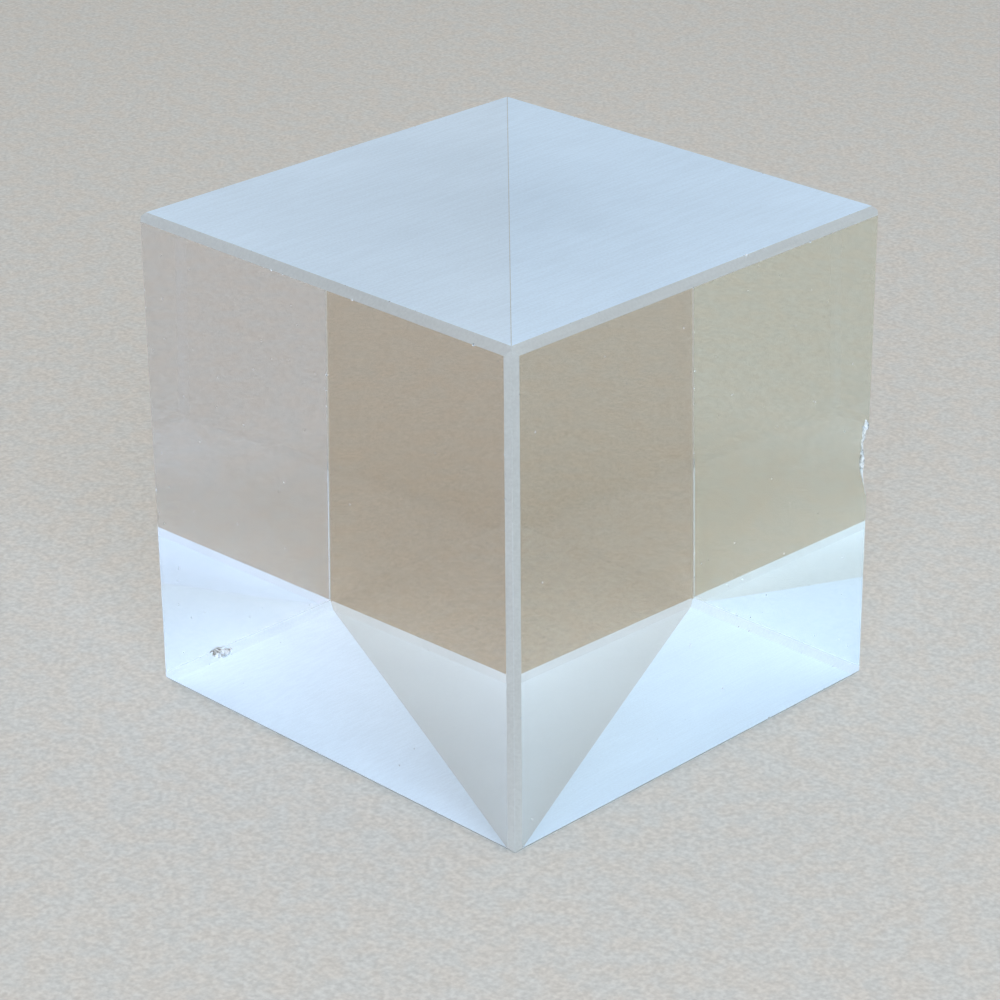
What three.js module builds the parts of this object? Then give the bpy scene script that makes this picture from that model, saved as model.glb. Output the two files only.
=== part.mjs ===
// Cemented prism cube: a 20 mm glass cube made of two right-angle prisms. The long face of one
// prism carries a thin partly reflecting coating, and a film of clear optical cement joins it to
// the long face of the other. The four upright faces are polished, the top and the bottom are
// left ground, and every outer edge has a narrow ground 45 degree bevel.
//
// Units are millimetres, +Z is up. The origin is the centre of the bottom face, and the faces
// look along X and Y. The joint runs upright through the +X -Y edge, called the front edge
// here, and the -X +Y edge, called the back edge.

import * as THREE from 'three';
import { ConvexGeometry } from 'three/addons/geometries/ConvexGeometry.js';

// ---- driving dimensions ----

const EDGE = 20;              // length of the cube's edges
const BEVEL = 0.3;            // leg of the ground bevel on most outer edges
const FRONT_BEVEL = 0.38;     // leg of the bevel on the front edge, where both prisms are sharp
const BACK_BEVEL = 0.1;       // leg of the bevel on the back edge
const COATING = 0.014;        // the coating along X, 0.01 thick square to the joint
const CEMENT = 0.028;         // the cement along X, 0.02 thick square to the joint

// ---- places worked out from them ----

const HALF = EDGE / 2;
const INNER = HALF - BEVEL;                    // where a flat face ends and its bevel starts
const CORNER = HALF - BEVEL / 2;               // where three equal bevels meet in a point
const JOINT_START = -(COATING + CEMENT) / 2;   // x + y on the coated prism's long face
const COATING_END = JOINT_START + COATING;     // x + y between the coating and the cement
const JOINT_END = COATING_END + CEMENT;        // x + y on the cover prism's long face

// ---- materials ----

function glass(color, roughness) {
  return new THREE.MeshStandardMaterial({
    color, roughness, metalness: 0, transparent: true, opacity: 0.5,
  });
}

const coatedGlass = glass(0xb2aaa4, 0.08);
const coverGlass = glass(0xb0ab9e, 0.08);
const coating = glass(0xa99cab, 0.05);
const cement = glass(0xd9d6b8, 0.1);

// ---- shapes ----

// A point beside the joint: at distance reach from the middle, towards the front edge where
// side is 1 or the back edge where it is -1, and shifted square to the joint.
function besideJoint(side, reach, shift, height) {
  return new THREE.Vector3(side * reach + shift, -side * reach + shift, height);
}

// The outline that the bevelled cube has on one upright plane x + y = sum: an octagon whose
// corners lie on the bevels.
function jointOutline(sum) {
  const shift = sum / 2;
  const flat = INNER - Math.abs(shift);
  const points = [];
  for (const [side, bevel] of [[1, FRONT_BEVEL], [-1, BACK_BEVEL]]) {
    const reach = HALF - bevel / 2;
    const low = BEVEL - bevel / 2 + Math.abs(shift);
    points.push(
      besideJoint(side, reach, shift, low),
      besideJoint(side, reach, shift, EDGE - low),
      besideJoint(side, flat, shift, 0),
      besideJoint(side, flat, shift, EDGE),
    );
  }
  return points;
}

// The corners of one right-angle prism: the joint outline on its long face, and the bevelled
// ends of its two polished faces. side is -1 for the prism at -X -Y, 1 for the one at +X +Y.
function prismPoints(side, sum) {
  const points = jointOutline(sum);
  const nextToFront = side * (HALF - FRONT_BEVEL);
  const nextToBack = side * (HALF - BACK_BEVEL);
  for (const [level, inward] of [[0, BEVEL], [EDGE, -BEVEL]]) {
    // The right-angle edge, where three bevels meet.
    points.push(
      new THREE.Vector3(side * INNER, side * INNER, level),
      new THREE.Vector3(side * HALF, side * INNER, level + inward),
      new THREE.Vector3(side * INNER, side * HALF, level + inward),
      new THREE.Vector3(side * CORNER, side * CORNER, level + inward / 2),
    );
    // The far ends of the polished face that looks along X, and of the one along Y.
    const alongX = side < 0 ? nextToBack : nextToFront;
    const alongY = side < 0 ? nextToFront : nextToBack;
    points.push(
      new THREE.Vector3(side * HALF, -alongX, level + inward),
      new THREE.Vector3(-alongY, side * HALF, level + inward),
    );
  }
  return points;
}

function addPiece(group, name, points, material) {
  const mesh = new THREE.Mesh(new ConvexGeometry(points), material);
  mesh.name = name;
  group.add(mesh);
}

// ---- assembly ----

const cube = new THREE.Group();
addPiece(cube, 'coated_prism', prismPoints(-1, JOINT_START), coatedGlass);
addPiece(cube, 'cover_prism', prismPoints(1, JOINT_END), coverGlass);
addPiece(
  cube, 'beamsplitter_coating',
  [...jointOutline(JOINT_START), ...jointOutline(COATING_END)], coating,
);
addPiece(
  cube, 'optical_cement',
  [...jointOutline(COATING_END), ...jointOutline(JOINT_END)], cement,
);

export default cube;
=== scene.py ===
# %% [markdown]
# # A cemented prism cube
#
# This is a solid glass cube, 20 mm on each edge, of the kind that shows how a beam of light can
# be split in two. It is two right-angle prisms joined on their long faces, with a thin partly
# reflecting coating and a film of clear cement between them. The four upright faces are
# polished, so the eye looks deep into the glass. The top, the bottom and the narrow bevels
# along the edges are left ground, so they look white and matt.
#
# The imported model gives the edge and the spans of the two films. We load it first and keep its
# box.

from math import cos, pi, radians, sin, sqrt

import bmesh
import bpy
from mathutils import Matrix, Vector
from mathutils import noise as field


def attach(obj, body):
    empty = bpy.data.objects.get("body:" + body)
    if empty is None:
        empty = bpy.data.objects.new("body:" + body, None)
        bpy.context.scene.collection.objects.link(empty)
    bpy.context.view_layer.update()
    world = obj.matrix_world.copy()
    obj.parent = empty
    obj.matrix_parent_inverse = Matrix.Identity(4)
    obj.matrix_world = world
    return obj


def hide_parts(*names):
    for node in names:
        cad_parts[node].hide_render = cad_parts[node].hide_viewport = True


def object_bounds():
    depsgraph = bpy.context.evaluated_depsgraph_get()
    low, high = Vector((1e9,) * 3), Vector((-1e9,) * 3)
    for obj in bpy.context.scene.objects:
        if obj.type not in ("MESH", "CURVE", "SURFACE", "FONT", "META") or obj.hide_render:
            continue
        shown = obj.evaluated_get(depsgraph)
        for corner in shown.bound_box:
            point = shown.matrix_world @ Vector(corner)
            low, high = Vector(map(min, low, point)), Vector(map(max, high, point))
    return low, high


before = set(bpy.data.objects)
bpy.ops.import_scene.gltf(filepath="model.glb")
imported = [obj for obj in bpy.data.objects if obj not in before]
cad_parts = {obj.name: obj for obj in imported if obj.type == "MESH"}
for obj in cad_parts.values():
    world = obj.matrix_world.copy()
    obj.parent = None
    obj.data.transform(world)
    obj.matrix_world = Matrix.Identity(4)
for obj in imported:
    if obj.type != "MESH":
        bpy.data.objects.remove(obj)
cad_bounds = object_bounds()
print("CAD box, metres:", [[round(v, 5) for v in corner] for corner in cad_bounds])

# %% [markdown]
# ## Sizes
#
# Blender works in metres and a glass worker in millimetres, so one constant turns one into the
# other. The edge comes from the model's box. The joint between the prisms is an upright plane
# through the +X -Y edge, which we call the front edge, and the -X +Y edge, the back one. How
# far a point is from the middle of the joint is (x + y) / sqrt(2), and we measure each film
# along that direction. A bevel is given by its leg, the width that it takes off each face.

# %% Sizes
MM = 0.001
EDGE = cad_bounds[1][2] - cad_bounds[0][2]
HALF = EDGE / 2
BEVEL = 0.3 * MM            # on most of the outer edges
FRONT_BEVEL = 0.38 * MM     # on the front edge, across the joint
BACK_BEVEL = 0.1 * MM       # on the back edge, across the joint
FILM_GAP = 0.001 * MM       # keeps the faces of the joint from lying on each other
ACROSS = Vector((1, 1, 0)).normalized()
BACKWARD = Vector((-1, 1, 0)).normalized()
SIDE_REACH = (EDGE - BEVEL) / sqrt(2)   # from the joint out to the bevel of a prism's right angle


def span_across(node):
    """Where a CAD node starts and ends, measured square to the joint."""
    places = [ACROSS.dot(v.co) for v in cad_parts[node].data.vertices]
    return min(places), max(places)


coating_span = span_across("beamsplitter_coating")
cement_span = span_across("optical_cement")
print("edge, mm:", round(EDGE / MM, 3))
print("coating, mm:", [round(v / MM, 4) for v in coating_span])
print("cement, mm:", [round(v / MM, 4) for v in cement_span])

# %% [markdown]
# ## Camera
#
# We look at the front edge from a little above, a hand's width away. A long lens keeps the
# upright edges nearly parallel. The camera is described by the way it looks, by its distance
# from the cube's centre, and by how far it is moved sideways and down from there.

# %% Camera
AZIMUTH = radians(45.04)
ELEVATION = radians(24.79)
ROLL = radians(-0.52)
DISTANCE = 6.524 * EDGE
ASIDE = -0.0221 * EDGE
BELOW = -0.0957 * EDGE
LENS_MM = 120.3

back = Vector((sin(AZIMUTH) * cos(ELEVATION), -cos(AZIMUTH) * cos(ELEVATION), sin(ELEVATION)))
right = Vector((cos(AZIMUTH), sin(AZIMUTH), 0))
up = back.cross(right)
turned_right = right * cos(ROLL) + up * sin(ROLL)
turned_up = up * cos(ROLL) - right * sin(ROLL)
eye = Vector((0, 0, HALF)) + back * DISTANCE + right * ASIDE + up * BELOW

camera_data = bpy.data.cameras.new("camera")
camera_data.lens = LENS_MM
camera_data.clip_start = 0.01
camera = bpy.data.objects.new("camera", camera_data)
bpy.context.scene.collection.objects.link(camera)
axes = Matrix((turned_right, turned_up, back)).transposed()
camera.matrix_world = Matrix.Translation(eye) @ axes.to_4x4()
bpy.context.scene.camera = camera
print("camera at, mm:", [round(v / MM, 1) for v in eye])

# %% [markdown]
# ## Helpers
#
# Colours are written as the hex values that a picture editor shows. Blender calculates with
# linear light, so one function converts them. A second one adds a node to a tree. What it is
# given as a value is set on the socket, and what it is given as an output, or as a node, is
# linked to it. A third starts an empty material. A fourth lays an uneven pattern over a piece,
# in patches of a size that we give in metres, because a pattern looks right only when its
# scale is that of the real surface.


# %% Helpers
def linear(hex_colour):
    """An sRGB hex colour as linear red, green, blue and alpha."""
    parts = [int(hex_colour[i:i + 2], 16) / 255 for i in (1, 3, 5)]
    light = [c / 12.92 if c <= 0.04045 else ((c + 0.055) / 1.055) ** 2.4 for c in parts]
    return (*light, 1.0)


def add(tree, kind, inputs=None, **settings):
    """Adds a node. inputs maps a socket to a value, an output, a node, or a list of these."""
    made = tree.nodes.new(kind)
    for name, value in settings.items():
        setattr(made, name, value)
    for key, given in (inputs or {}).items():
        if isinstance(key, int):
            socket = made.inputs[key]
        else:
            socket = next(s for s in made.inputs if s.name == key and s.enabled)
        for item in given if isinstance(given, list) else [given]:
            if isinstance(item, bpy.types.Node):
                item = next(s for s in item.outputs if s.enabled)
            if isinstance(item, bpy.types.NodeSocket):
                tree.links.new(item, socket)
            else:
                socket.default_value = item
    return made


def new_material(name):
    """An empty material and its tree."""
    material = bpy.data.materials.new(name)
    material.use_nodes = True
    material.node_tree.nodes.clear()
    return material, material.node_tree


def patches(tree, across, low, high, edge=0.2, stretch=(1, 1, 1), turn=0.0):
    """An uneven pattern from low to high, in patches this far across. A small edge is sharp."""
    place = add(tree, "ShaderNodeTexCoord").outputs["Object"]
    turned = add(tree, "ShaderNodeMapping", {
        "Vector": place, "Rotation": (0, 0, turn), "Scale": stretch})
    uneven = add(tree, "ShaderNodeTexNoise", {
        "Vector": turned, "Scale": 1 / across, "Detail": 3.0})
    return add(tree, "ShaderNodeMapRange", {
        "Value": uneven, "From Min": 0.5 - edge, "From Max": 0.5 + edge,
        "To Min": low, "To Max": high})


print("middle grey, linear:", round(linear("#808080")[0], 3))

# %% [markdown]
# ## Polished crown glass
#
# Borosilicate crown glass bends light with an index of 1.517, and an optical polish leaves no
# roughness that the eye can see. What it does carry is dust, a few pale specks on each square
# millimetre. We draw those as the middles of Voronoi cells, and let a broad pattern thin them
# out in places. A lamp's light isn't followed along a bent path, so for a lamp's rays alone
# the face is plain clear. The ground bottom, deep inside the cube, is then lit through the
# sides. Only part of that light leaves again at the far side: about half of it meets the back
# faces too slantingly to get out, and the films keep some of the blue. So the cube casts a
# shadow, light and slightly warm. Such a ray is followed back from the floor to the lamp, which
# is why it meets a face from outside where the light itself leaves.

# %% Polished crown glass
CROWN_INDEX = 1.517
LAMP_ENTERING = (0.87, 0.87, 0.87, 1)   # what one clear face lets in of slanting lamplight
LAMP_LEAVING = linear("#C8BAAA")        # what gets out again at the far side
DUST_SPACING = 0.9 * MM
DUST_CORE = 0.03            # a speck's solid middle, as a share of the spacing
DUST_RIM = 0.06             # where the speck has faded out
DUST_PATCH = 2.5 * MM


def lit_through(tree, seen, passed):
    """Ends a glass material: a lamp's rays are only filtered, and all others meet the glass."""
    clear = add(tree, "ShaderNodeBsdfTransparent", {"Color": passed})
    lamp_ray = add(tree, "ShaderNodeLightPath").outputs["Is Shadow Ray"]
    surface = add(tree, "ShaderNodeMixShader", {0: lamp_ray, 1: seen, 2: clear})
    add(tree, "ShaderNodeOutputMaterial", {"Surface": surface})


polished, tree = new_material("polished_crown_glass")
bent = add(tree, "ShaderNodeBsdfGlass", {
    "Color": linear("#FAFBFA"), "Roughness": 0.0, "IOR": CROWN_INDEX})
dust = add(tree, "ShaderNodeBsdfDiffuse", {"Color": linear("#D9DDE0")})
cells = add(tree, "ShaderNodeTexVoronoi", {
    "Vector": add(tree, "ShaderNodeTexCoord").outputs["Object"], "Scale": 1 / DUST_SPACING})
middles = add(tree, "ShaderNodeMapRange", {
    "Value": cells, "From Min": DUST_CORE, "From Max": DUST_RIM, "To Min": 1.0, "To Max": 0.0})
thinned = patches(tree, DUST_PATCH, 0.0, 0.5, edge=0.08)
speck = add(tree, "ShaderNodeMath", {0: middles, 1: thinned}, operation="MULTIPLY")
seen = add(tree, "ShaderNodeMixShader", {0: speck, 1: bent, 2: dust})
from_inside = add(tree, "ShaderNodeNewGeometry").outputs["Backfacing"]
passed = add(tree, "ShaderNodeMix", {
    "Factor": from_inside, "A": LAMP_LEAVING, "B": LAMP_ENTERING}, data_type="RGBA")
lit_through(tree, seen, passed)
print("polished glass: index", CROWN_INDEX, "and dust", round(DUST_SPACING / MM, 1), "mm apart")

# %% [markdown]
# ## Ground crown glass
#
# The top, the bottom and the bevels are ground with loose grit and left matt. Each grain leaves
# a pit some hundredths of a millimetre wide, too fine to show here, so the grain is drawn at a
# tenth of a millimetre, with a few longer strokes from the lap. From outside, part of the light
# is thrown back and part goes through, scattered. From inside, the pits turn nearly all of it
# back, which is why the ground bottom shines through the polished sides. The bevels are ground
# finer and are thin, so they let more light through. Light also comes in through the polished
# sides, so from outside a ground face is painted a little paler towards its edges and corners,
# as painted light. The bluish white of the ground faces is partly painted light: the blue of
# the window's daylight. The two prisms' ground faces get slightly different colours as painted
# light for the way each half is lit. The cover prism's faces are a touch bluer from outside, and
# the coated prism's are a touch brighter from inside. From outside, the bevels are darker and
# greyer than the top, which is painted shade for the smaller amount of light that falls on them.

# %% Ground crown glass
GRIT = 0.1 * MM             # drawn three times as coarse as real grit, so that it shows
GRIT_DEPTH = 0.01 * MM
LAP_STROKE = 0.12 * MM      # how wide a stroke of the lap is
STROKE_STRETCH = (1, 0.06, 1)           # about seventeen times as long as it is wide
STROKE_TURN = 0.6           # radians
CLOUD = 4 * MM              # the lap presses a little unevenly
# painted light: from outside, a ground face's colour is scaled by these at its middle and its
# corners
MIDDLE_PAINTED_LIGHT = 0.95
CORNER_PAINTED_LIGHT = 1.12
THROUGH_MATT = (0.85, 0.85, 0.85, 1)    # what a ground face lets through of a lamp's light


def ground_glass(name, outside, inside, through_outside, through_inside):
    """Ground glass of one colour from outside and one from inside, letting a share through."""
    material, tree = new_material(name)
    from_inside = add(tree, "ShaderNodeNewGeometry").outputs["Backfacing"]
    grit = patches(tree, GRIT, 0.95, 1.03)
    cloud = patches(tree, CLOUD, 0.975, 1.02)
    stroke = patches(tree, LAP_STROKE, 1.0, 1.04, edge=0.1,
                     stretch=STROKE_STRETCH, turn=STROKE_TURN)
    shade = add(tree, "ShaderNodeMath", {0: grit, 1: cloud}, operation="MULTIPLY")
    shade = add(tree, "ShaderNodeMath", {0: shade, 1: stroke}, operation="MULTIPLY")
    level = add(tree, "ShaderNodeVectorMath", {
        0: add(tree, "ShaderNodeTexCoord").outputs["Object"], 1: (1, 1, 0)}, operation="MULTIPLY")
    # Painted light: from outside, the colour is painted paler towards the edges and corners, for
    # light coming in through the polished sides. Seen from inside, it is even.
    from_middle = add(tree, "ShaderNodeVectorMath", {0: level}, operation="LENGTH")
    paler = add(tree, "ShaderNodeMapRange", {
        "Value": from_middle, "From Max": EDGE / sqrt(2),
        "To Min": MIDDLE_PAINTED_LIGHT, "To Max": CORNER_PAINTED_LIGHT})
    paler = add(tree, "ShaderNodeMix", {"Factor": from_inside, "A": paler, "B": 1.0})
    shade = add(tree, "ShaderNodeMath", {0: shade, 1: paler}, operation="MULTIPLY")
    tone = add(tree, "ShaderNodeMix", {
        "Factor": from_inside, "A": linear(outside), "B": linear(inside)}, data_type="RGBA")
    colour = add(tree, "ShaderNodeVectorMath", {0: tone, "Scale": shade}, operation="SCALE")
    bump = add(tree, "ShaderNodeBump", {
        "Strength": 0.35, "Distance": GRIT_DEPTH, "Height": grit})
    matt = add(tree, "ShaderNodeBsdfPrincipled", {
        "Base Color": colour, "Normal": bump, "IOR": CROWN_INDEX,
        "Roughness": patches(tree, GRIT, 0.7, 0.8)})
    glow = add(tree, "ShaderNodeBsdfTranslucent", {"Color": colour})
    share = add(tree, "ShaderNodeMapRange", {
        "Value": from_inside, "To Min": through_outside, "To Max": through_inside})
    scattered = add(tree, "ShaderNodeMixShader", {0: share, 1: matt, 2: glow})
    lit_through(tree, scattered, THROUGH_MATT)
    return material


# Painted light: these colours are bluish partly for the window's blue. They differ a little
# between the two prisms for the way each half is lit.
ground_coated = ground_glass("ground_glass_coated_prism", "#CCDDE9", "#D4E3F0",
                             through_outside=0.4, through_inside=0.1)
ground_cover = ground_glass("ground_glass_cover_prism", "#CCDFEE", "#CDE0EE",
                            through_outside=0.4, through_inside=0.1)
# Painted shade: from outside, the bevels get a darker, greyer colour than the top, for the smaller
# amount of light that falls on them.
ground_bevel = ground_glass("finely_ground_bevel", "#BDC1BF", "#D4E3F0",
                            through_outside=0.55, through_inside=0.35)
print("ground glass: grit drawn", round(GRIT / MM, 2), "mm across")

# %% [markdown]
# ## Chipped crown glass
#
# Where an edge has been knocked, the glass has broken in a small shell. Fresh broken glass is
# clear, with ripples on it, and is neither polished nor matt. Some of it catches the light and
# some of it looks dark. So it is glass again, a little rough, with a strong ripple for a bump,
# and in patches it is crushed to a frosty white.

# %% Chipped crown glass
SHELL_RIPPLE = 0.12 * MM
RIPPLE_DEPTH = 0.05 * MM
FROST_PATCH = 0.25 * MM

chipped, tree = new_material("chipped_crown_glass")
shell_ripple = patches(tree, SHELL_RIPPLE, 0.0, 1.0)
bump = add(tree, "ShaderNodeBump", {
    "Strength": 0.8, "Distance": RIPPLE_DEPTH, "Height": shell_ripple})
fresh = add(tree, "ShaderNodeBsdfGlass", {
    "Color": linear("#EEF4F8"), "Roughness": 0.12, "IOR": CROWN_INDEX, "Normal": bump})
frosty = add(tree, "ShaderNodeBsdfDiffuse", {"Color": linear("#EEF3F5")})
frost = patches(tree, FROST_PATCH, 0.0, 0.5, edge=0.1)
broken = add(tree, "ShaderNodeMixShader", {0: frost, 1: fresh, 2: frosty})
lit_through(tree, broken, LAMP_ENTERING)
print("chipped glass: ripples", round(SHELL_RIPPLE / MM, 2), "mm across")

# %% [markdown]
# ## The joint's faces
#
# The cement has the same index as the glass, so light passes between them as if nothing were
# there. The cemented face of a prism is therefore plain transparent, and so is the cement, with
# the slight yellow that it cures to. The coating between them does all the work. It sends part
# of the light through and part of it back, and how much, and in what colour, depends on how
# steeply the light meets it. The outer half of each side is seen through it at 24 degrees
# from square, and the inner half at 72 degrees. Layer Weight's Facing output is one minus the
# cosine of that angle. One side of this film looks faintly lilac and the other faintly green.
# A ray that crosses the film meets both its sides, so only the side that it comes in by does
# the work, and the side that it leaves by is plain clear.

# %% The joint's faces
SQUARE_ON = 1 - cos(radians(24))
GRAZING = 1 - cos(radians(72))
SQUARE_MIRROR = 0.12        # share sent back when the film is seen nearly square on
GRAZING_MIRROR = 0.4        # share sent back at a grazing view


def clear_film(name, colour):
    """A surface that only filters the light."""
    material, tree = new_material(name)
    clear = add(tree, "ShaderNodeBsdfTransparent", {"Color": linear(colour)})
    add(tree, "ShaderNodeOutputMaterial", {"Surface": clear})
    return material


def coating_side(name, square_on, grazing):
    """One side of the coating, with the colour it gives square on and at a grazing view."""
    material, tree = new_material(name)
    facing = add(tree, "ShaderNodeLayerWeight", {"Blend": 0.5}).outputs["Facing"]
    slant = add(tree, "ShaderNodeMapRange", {
        "Value": facing, "From Min": SQUARE_ON, "From Max": GRAZING})
    tint = add(tree, "ShaderNodeMix", {
        "Factor": slant, "A": linear(square_on), "B": linear(grazing)}, data_type="RGBA")
    through = add(tree, "ShaderNodeBsdfTransparent", {"Color": tint})
    mirror = add(tree, "ShaderNodeBsdfGlossy", {"Color": tint, "Roughness": 0.0})
    share = add(tree, "ShaderNodeMapRange", {
        "Value": slant, "To Min": SQUARE_MIRROR, "To Max": GRAZING_MIRROR})
    split = add(tree, "ShaderNodeMixShader", {0: share, 1: through, 2: mirror})
    leaving = add(tree, "ShaderNodeBsdfTransparent", {"Color": linear("#FFFFFF")})
    from_inside = add(tree, "ShaderNodeNewGeometry").outputs["Backfacing"]
    surface = add(tree, "ShaderNodeMixShader", {0: from_inside, 1: split, 2: leaving})
    add(tree, "ShaderNodeOutputMaterial", {"Surface": surface})
    return material


cemented = clear_film("cemented_glass_face", "#FFFFFF")
adhesive = clear_film("cured_optical_cement", "#FDFDFB")
# At a grazing view, each side's colour is warmer and darker. Part of this is the film's own tint,
# and part is painted shade that deepens the cube's shadow on the floor behind it, which the inner
# halves show.
lilac_side = coating_side("coating_lilac_side", "#FDF7FE", "#EEE2D9")
green_side = coating_side("coating_green_side", "#FFFFF9", "#F5EEE8")
print("coating: mirror share", SQUARE_MIRROR, "to", GRAZING_MIRROR)

# %% [markdown]
# ## A slice of a bevelled cube
#
# Both prisms and both films have outlines that follow one rule. Each is the bevelled cube, cut
# to what lies between two distances from the joint. A rule like that suits Geometry Nodes. The
# convex hull of a wide low box and a narrow high box is a cube whose top and bottom edges are
# bevelled. A second box, turned by 45 degrees, is as long as the cube's diagonal less the front
# and back bevels. What the two have in common is the slice. Each face then gets its material by
# the way it looks: upright and square to the cube is polished, along the joint is cemented,
# level is ground, and what is left is a bevel. The back bevel is only a hair's width of glass,
# taken off where the two sharp corners meet, and it is left as clear as the sides.


# %% A slice of a bevelled cube
def new_rule(name, inputs):
    """An empty Geometry Nodes tree with these inputs, and the sockets that give them."""
    tree = bpy.data.node_groups.new(name, "GeometryNodeTree")
    tree.interface.new_socket("Geometry", in_out="OUTPUT", socket_type="NodeSocketGeometry")
    for label, kind in inputs.items():
        tree.interface.new_socket(label, in_out="INPUT", socket_type="NodeSocket" + kind)
    return tree, add(tree, "NodeGroupInput").outputs


def finish_by_direction(tree, piece, given):
    """Gives each face the material that goes with the way it looks."""
    looks_along = {}
    for name, way in (("x", (1, 0, 0)), ("y", (0, 1, 0)), ("z", (0, 0, 1)),
                      ("joint", tuple(ACROSS)), ("back", tuple(BACKWARD))):
        part_along = add(tree, "ShaderNodeVectorMath", {
            0: add(tree, "GeometryNodeInputNormal"), 1: way}, operation="DOT_PRODUCT")
        looks_along[name] = part_along.outputs["Value"]
    piece = add(tree, "GeometryNodeSetMaterial", {0: piece, "Material": given["Bevels"]})
    for name, sign, finish in (
        ("x", 1, "Polished"), ("x", -1, "Polished"), ("y", 1, "Polished"), ("y", -1, "Polished"),
        ("z", 1, "Ground"), ("z", -1, "Ground"),
        ("joint", -1, "Side Before"), ("joint", 1, "Side After"), ("back", 1, "Polished"),
    ):
        chosen = add(tree, "FunctionNodeCompare", {
            "A": looks_along[name], "B": sign, "Epsilon": 0.001}, operation="EQUAL")
        piece = add(tree, "GeometryNodeSetMaterial", {
            0: piece, "Selection": chosen, "Material": given[finish]})
    return piece


def slice_rule():
    """The bevelled cube between From and To, two distances from the middle of the joint."""
    sizes = ("Edge", "Bevel", "Front Bevel", "Back Bevel", "From", "To")
    finishes = ("Polished", "Ground", "Bevels", "Side Before", "Side After")
    tree, given = new_rule("slice_of_bevelled_cube", {
        **{name: "Float" for name in sizes}, **{name: "Material" for name in finishes}})
    edge = given["Edge"]
    short = add(tree, "ShaderNodeMath", {0: given["Bevel"], 1: -2.0, 2: edge},
                operation="MULTIPLY_ADD")
    boxes = []
    for size in ((edge, edge, short), (short, short, edge)):
        corner = add(tree, "ShaderNodeCombineXYZ", dict(enumerate(size)))
        boxes.append(add(tree, "GeometryNodeMeshCube", {"Size": corner}))
    both = add(tree, "GeometryNodeJoinGeometry", {0: boxes})
    hull = add(tree, "GeometryNodeConvexHull", {0: both})
    middle = add(tree, "ShaderNodeMath", {0: edge, 1: 0.5}, operation="MULTIPLY")
    block = add(tree, "GeometryNodeTransform", {
        0: hull, "Translation": add(tree, "ShaderNodeCombineXYZ", {"Z": middle})})

    reaches = []
    for bevel in ("Front Bevel", "Back Bevel"):
        left_over = add(tree, "ShaderNodeMath", {0: edge, 1: given[bevel]}, operation="SUBTRACT")
        reaches.append(add(tree, "ShaderNodeMath", {0: left_over, 1: sqrt(2)}, operation="DIVIDE"))
    ends = []
    for low, high in ((given["From"], given["To"]), (reaches[0], reaches[1])):
        total = add(tree, "ShaderNodeMath", {0: high, 1: low}, operation="ADD")
        change = add(tree, "ShaderNodeMath", {0: high, 1: low}, operation="SUBTRACT")
        ends.append((total, change))
    tall = add(tree, "ShaderNodeMath", {0: edge, 1: 4.0}, operation="MULTIPLY")
    slab_size = add(tree, "ShaderNodeCombineXYZ", {"X": ends[0][1], "Y": ends[1][0], "Z": tall})
    centre = add(tree, "ShaderNodeVectorMath", {
        0: add(tree, "ShaderNodeCombineXYZ", {"X": ends[0][0], "Y": ends[1][1]}), "Scale": 0.5},
        operation="SCALE")
    slab = add(tree, "GeometryNodeTransform", {
        0: add(tree, "GeometryNodeMeshCube", {"Size": slab_size}), "Translation": centre})
    slab = add(tree, "GeometryNodeTransform", {0: slab, "Rotation": (0, 0, pi / 4)})
    piece = add(tree, "GeometryNodeMeshBoolean", {1: [block, slab]},
                operation="INTERSECT", solver="EXACT")
    piece = finish_by_direction(tree, piece, given)
    add(tree, "NodeGroupOutput", {0: add(tree, "GeometryNodeRealizeInstances", {0: piece})})
    return tree


SLICE_RULE = slice_rule()
print("slice rule:", len(SLICE_RULE.nodes), "nodes")

# %% [markdown]
# ## Chips along the bevels
#
# However carefully a cube is handled, its bevels lose tiny flakes. A second tree finds the
# edges that turn by 45 degrees, which are the borders of the bevels, and walks along them in
# equal steps. At a few of the steps it cuts a small lump out of the glass. The lumps are turned,
# squashed and sized at random from a fixed seed, so each run gives the same chips, and most are
# very small. An object with larger cutters of our own goes into the same cut.


# %% Chips along the bevels
def small_lumps(tree, given):
    """Lumps of glass to cut away, at some of the steps along the bevels' borders."""
    turn = add(tree, "GeometryNodeInputMeshEdgeAngle").outputs["Unsigned Angle"]
    border = add(tree, "FunctionNodeCompare", {"A": turn, "B": pi / 4, "Epsilon": radians(5)},
                 operation="EQUAL")
    lines = add(tree, "GeometryNodeMeshToCurve", {0: given["Geometry"], "Selection": border})
    steps = add(tree, "GeometryNodeCurveToPoints", {0: lines, "Length": given["Spacing"]},
                mode="LENGTH")
    picked = add(tree, "FunctionNodeRandomValue", {
        "Probability": given["Share"], "Seed": given["Seed"]}, data_type="BOOLEAN")
    draw = add(tree, "FunctionNodeRandomValue", {"Seed": given["Seed"]}, data_type="FLOAT")
    mostly_small = add(tree, "ShaderNodeMath", {0: draw, 1: 4.0}, operation="POWER")
    across = add(tree, "ShaderNodeMapRange", {
        "Value": mostly_small, "To Min": given["Smallest"], "To Max": given["Largest"]})
    turned = add(tree, "FunctionNodeRandomValue", {
        "Max": (2 * pi, 2 * pi, 2 * pi), "Seed": given["Seed"]}, data_type="FLOAT_VECTOR")
    squashed = add(tree, "FunctionNodeRandomValue", {
        "Min": (0.6, 0.6, 0.6), "Max": (1.3, 1.3, 1.3), "Seed": given["Seed"]},
        data_type="FLOAT_VECTOR")
    size = add(tree, "ShaderNodeVectorMath", {0: squashed, "Scale": across}, operation="SCALE")
    lump = add(tree, "GeometryNodeMeshIcoSphere", {"Radius": 0.5, "Subdivisions": 2})
    return add(tree, "GeometryNodeInstanceOnPoints", {
        0: steps, "Selection": picked, "Instance": lump, "Rotation": turned, "Scale": size})


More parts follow.
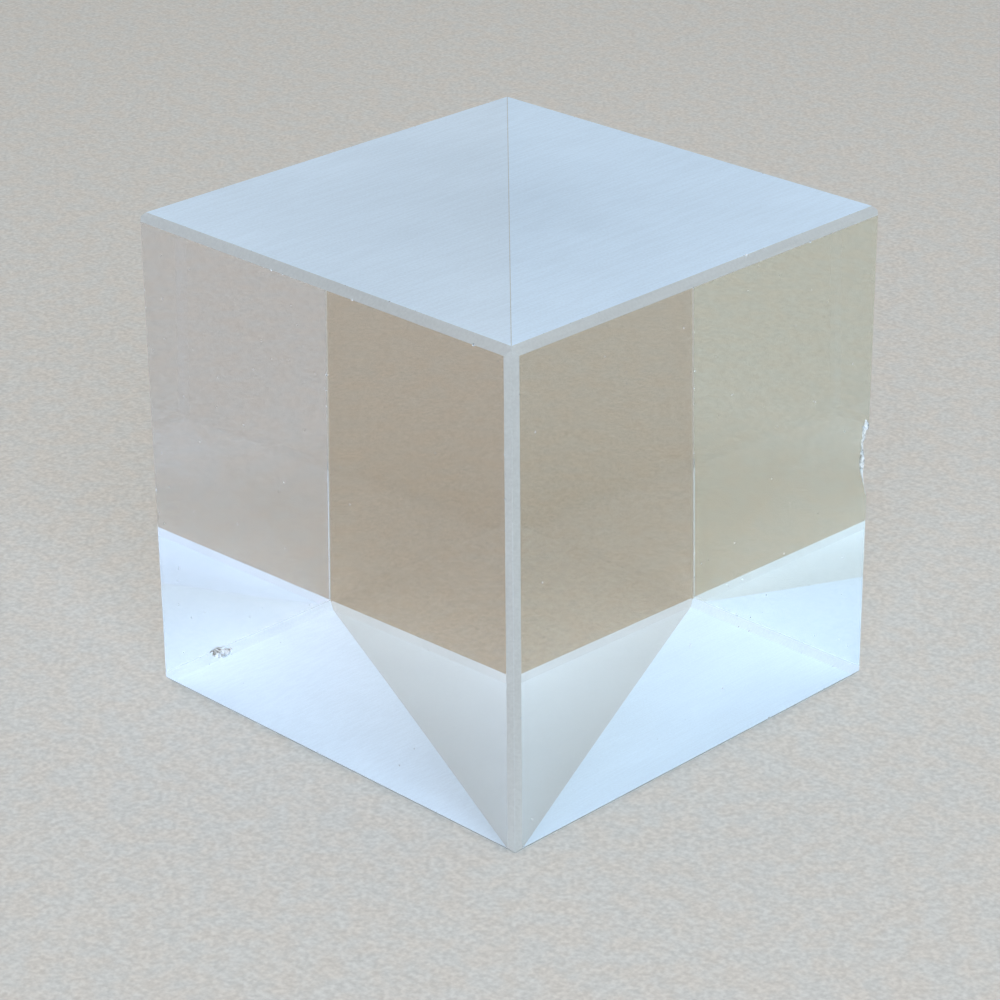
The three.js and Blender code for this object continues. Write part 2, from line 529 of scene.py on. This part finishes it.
def chip_rule():
    """Cuts small chips along the bevels, and one knock of a given shape."""
    tree, given = new_rule("chips_along_bevels", {
        "Geometry": "Geometry", "Spacing": "Float", "Share": "Float", "Smallest": "Float",
        "Largest": "Float", "Seed": "Int", "Knock": "Object", "Broken Face": "Material"})
    lumps = small_lumps(tree, given)
    knock = add(tree, "GeometryNodeObjectInfo", {"Object": given["Knock"]}).outputs["Geometry"]
    cutters = add(tree, "GeometryNodeJoinGeometry", {0: [lumps, knock]})
    cutters = add(tree, "GeometryNodeRealizeInstances", {0: cutters})
    cutters = add(tree, "GeometryNodeSetMaterial", {
        0: cutters, "Material": given["Broken Face"]})
    cut = add(tree, "GeometryNodeMeshBoolean", {
        0: given["Geometry"], 1: cutters, "Self Intersection": True},
        operation="DIFFERENCE", solver="EXACT")
    add(tree, "NodeGroupOutput", {0: add(tree, "GeometryNodeRealizeInstances", {0: cut})})
    return tree


CHIP_RULE = chip_rule()
print("chip rule:", len(CHIP_RULE.nodes), "nodes")

# %% [markdown]
# ## Two larger knocks
#
# Two chips are large enough to see. One is halfway up the +X +Y edge, with a sharp upper end and
# a shallow tail below it. The other is on the bottom bevel of the -X face, and shows deep in
# the glass. A flake breaks out along a curved shell with ripples running out from the blow, so
# each cutter starts as a ball, is stretched to the flake's size, and gets ripples that are
# centred on one end. Most of a cutter is outside the glass. The cut is made together with the
# small chips.


# %% Two larger knocks
RIPPLE_HEIGHT = 0.05        # of the cutter's reach
RIPPLE_RATE = 16            # radians from the blow to one reach away
UNEVENNESS = 0.25
UNEVEN_SCALE = 1.7


def knock(name, centre, reach, blow, lean):
    """A cutter like a flake of glass, struck at one end, whose other end leans outwards."""
    form = bmesh.new()
    bmesh.ops.create_icosphere(form, subdivisions=4, radius=1)
    for vertex in form.verts:
        from_blow = (vertex.co - Vector(blow)).length
        ripple = 1 + RIPPLE_HEIGHT * sin(RIPPLE_RATE * from_blow)
        uneven = 1 + UNEVENNESS * field.noise(vertex.co * UNEVEN_SCALE)
        shape = vertex.co * ripple * uneven
        away = (1 - shape.dot(Vector(blow))) / 2
        place = Vector(a * b for a, b in zip(shape, reach))
        vertex.co = Vector(centre) + place + Vector(lean) * away
    mesh = bpy.data.meshes.new(name)
    form.to_mesh(mesh)
    form.free()
    cutter = bpy.data.objects.new(name, mesh)
    bpy.context.scene.collection.objects.link(cutter)
    return cutter


side_knock = knock(
    "side_knock", centre=(HALF - 0.25 * MM, HALF - 0.25 * MM, 8.9 * MM),
    reach=(0.63 * MM, 0.63 * MM, 2.15 * MM), blow=(0, 0, 1), lean=(0.69 * MM, 0.69 * MM, 0))
bottom_knock = knock(
    "bottom_knock", centre=(-HALF + 0.06 * MM, -3.2 * MM, 0.06 * MM),
    reach=(0.3 * MM, 1.35 * MM, 0.3 * MM), blow=(0, 1, 0), lean=(-0.08 * MM, 0, -0.08 * MM))
for cutter in (side_knock, bottom_knock):
    print(cutter.name, "cutter, mm:", [round(v / MM, 2) for v in cutter.dimensions])

# %% [markdown]
# ## The four pieces
#
# A modifier with the slice rule goes on an empty mesh, and one with the chip rule after it on
# the two prisms. The result is turned into a plain mesh, and the object that carried the
# modifiers is removed. The two films keep sharp outlines, since they are protected inside the
# joint. They start and end a thousandth of a millimetre inside their CAD span, because two
# faces in one plane would flicker.

# %% The four pieces
FINISHES = {"Polished": polished, "Bevels": ground_bevel}
SIZES = {"Edge": EDGE, "Bevel": BEVEL, "Front Bevel": FRONT_BEVEL, "Back Bevel": BACK_BEVEL}
WEAR = {
    "Spacing": 0.12 * MM, "Share": 0.07,            # a chip at 7% of the steps along a border
    "Smallest": 0.03 * MM, "Largest": 0.13 * MM,    # lump sizes before squashing
    "Broken Face": chipped}
COATED_SEED = 3
COVER_SEED = 8


def apply_rules(name, rules):
    """Runs Geometry Nodes rules one after the other, and keeps the result as a plain mesh."""
    carrier = bpy.data.objects.new(name + "_rule", bpy.data.meshes.new(name + "_rule"))
    bpy.context.scene.collection.objects.link(carrier)
    for rule, values in rules:
        modifier = carrier.modifiers.new(rule.name, "NODES")
        modifier.node_group = rule
        for item in rule.interface.items_tree:
            if item.in_out == "INPUT" and item.name in values:
                modifier[item.identifier] = values[item.name]
    graph = bpy.context.evaluated_depsgraph_get()
    mesh = bpy.data.meshes.new_from_object(carrier.evaluated_get(graph))
    bpy.data.objects.remove(carrier)
    mesh.name = name
    piece = bpy.data.objects.new(name, mesh)
    bpy.context.scene.collection.objects.link(piece)
    print(name, "has", len(mesh.polygons), "faces")
    return piece


def prism(name, start, stop, ground, before, after, seed, cutter):
    """One prism, from start to stop across the joint, with its chips."""
    span = {
        "From": start, "To": stop, "Ground": ground, "Side Before": before, "Side After": after}
    wear = {**WEAR, "Seed": seed, "Knock": cutter}
    return apply_rules(name, [(SLICE_RULE, {**SIZES, **FINISHES, **span}), (CHIP_RULE, wear)])


def film(name, span, before, after):
    """One film of the joint, with its two broad sides."""
    inside = {"From": span[0] + FILM_GAP, "To": span[1] - FILM_GAP}
    sides = {"Ground": ground_bevel, "Side Before": before, "Side After": after}
    return apply_rules(name, [(SLICE_RULE, {**SIZES, **FINISHES, **inside, **sides})])


coated_prism = prism("coated_prism_glass", -SIDE_REACH, coating_span[0], ground_coated,
                     ground_bevel, cemented, COATED_SEED, bottom_knock)
cover_prism = prism("cover_prism_glass", cement_span[1], SIDE_REACH, ground_cover,
                    cemented, ground_bevel, COVER_SEED, side_knock)
coating_film = film("coating_film", coating_span, lilac_side, green_side)
cement_film = film("cement_film", cement_span, adhesive, adhesive)
for cutter in (side_knock, bottom_knock):
    bpy.data.objects.remove(cutter)

# %% [markdown]
# ## Floor
#
# A glass cube shows what is around it, so the floor is part of how it looks. It is a sheet of
# plain, pale, uncoated paper. The fibres of such paper are a tenth to a quarter of a millimetre
# across and differ only slightly in tone, and the pulp is clouded, a little warmer or cooler
# from one millimetre to the next. It lies a hair below the cube, so that the two don't share a
# plane.

# %% Floor
FLOOR_BELOW = 0.02 * MM
FLOOR_REACH = 3.0           # metres each way
FIBRE = 0.2 * MM
FLECK = 0.4 * MM
PULP_CLOUD = 1.2 * MM

floor_mesh = bpy.data.meshes.new("floor")
corners = [(x * FLOOR_REACH, y * FLOOR_REACH, -FLOOR_BELOW)
           for x, y in ((-1, -1), (1, -1), (1, 1), (-1, 1))]
floor_mesh.from_pydata(corners, [], [(0, 1, 2, 3)])
floor = bpy.data.objects.new("floor", floor_mesh)
bpy.context.scene.collection.objects.link(floor)

paper, tree = new_material("pale_uncoated_paper")
fibre = patches(tree, FIBRE, 0.9, 1.06, edge=0.2)
fleck = patches(tree, FLECK, 0.95, 1.03, edge=0.12)
shade = add(tree, "ShaderNodeMath", {0: fibre, 1: fleck}, operation="MULTIPLY")
pulp = add(tree, "ShaderNodeMix", {
    "Factor": patches(tree, PULP_CLOUD, 0.0, 1.0, edge=0.12),
    "A": linear("#C3C0B8"), "B": linear("#C0C1BC")}, data_type="RGBA")
tone = add(tree, "ShaderNodeVectorMath", {0: pulp, "Scale": shade}, operation="SCALE")
matt_paper = add(tree, "ShaderNodeBsdfDiffuse", {"Color": tone})
add(tree, "ShaderNodeOutputMaterial", {"Surface": matt_paper})
floor_mesh.materials.append(paper)
print("floor: paper with fibres", round(FIBRE / MM, 1), "mm across")

# %% [markdown]
# ## Light
#
# Daylight comes from a large window on the viewer's side, somewhat lower than it is far away,
# and is slightly blue. The rest of the room sends back a warmer light from all around. The
# joint, the films and the faces of the prisms are many clear layers one behind the other, so we
# let a ray pass through more of them than usual before it counts as dark.

# %% Light
ROOM_STRENGTH = 0.45
WINDOW_PLACE = (0.48, -0.37, 0.45)
WINDOW_WIDTH = 0.64
WINDOW_WATTS = 8.7
CLEAR_LAYERS = 32

scene = bpy.context.scene
scene.view_settings.view_transform = "Standard"
scene.cycles.transparent_max_bounces = CLEAR_LAYERS

world = bpy.data.worlds.new("room")
world.use_nodes = True
room = world.node_tree.nodes["Background"]
room.inputs["Color"].default_value = linear("#FFF6EA")
room.inputs["Strength"].default_value = ROOM_STRENGTH
scene.world = world

window_light = bpy.data.lights.new("window", "AREA")
window_light.shape = "DISK"
window_light.size = WINDOW_WIDTH
window_light.energy = WINDOW_WATTS
window_light.color = linear("#E8F0FF")[:3]
window = bpy.data.objects.new("window", window_light)
window.location = WINDOW_PLACE
from_cube = window.location - Vector((0, 0, HALF))
window.rotation_euler = from_cube.to_track_quat("Z", "Y").to_euler()
scene.collection.objects.link(window)
print("window", round(window.location.length, 2), "m away")

# %% [markdown]
# ## Tie the pieces to the frame
#
# Each piece rides on the frame's only body and stands for its CAD node, which is hidden. The
# cube has nothing that moves.

# %% Tie the pieces to the frame
for piece, node, slot in (
    (coated_prism, "coated_prism", "coated_prism_glass"),
    (cover_prism, "cover_prism", "cover_prism_glass"),
    (coating_film, "beamsplitter_coating", "coating"),
    (cement_film, "optical_cement", "cement"),
):
    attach(piece, "root")
    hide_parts(node)
    print(piece.name, "stands for", node)
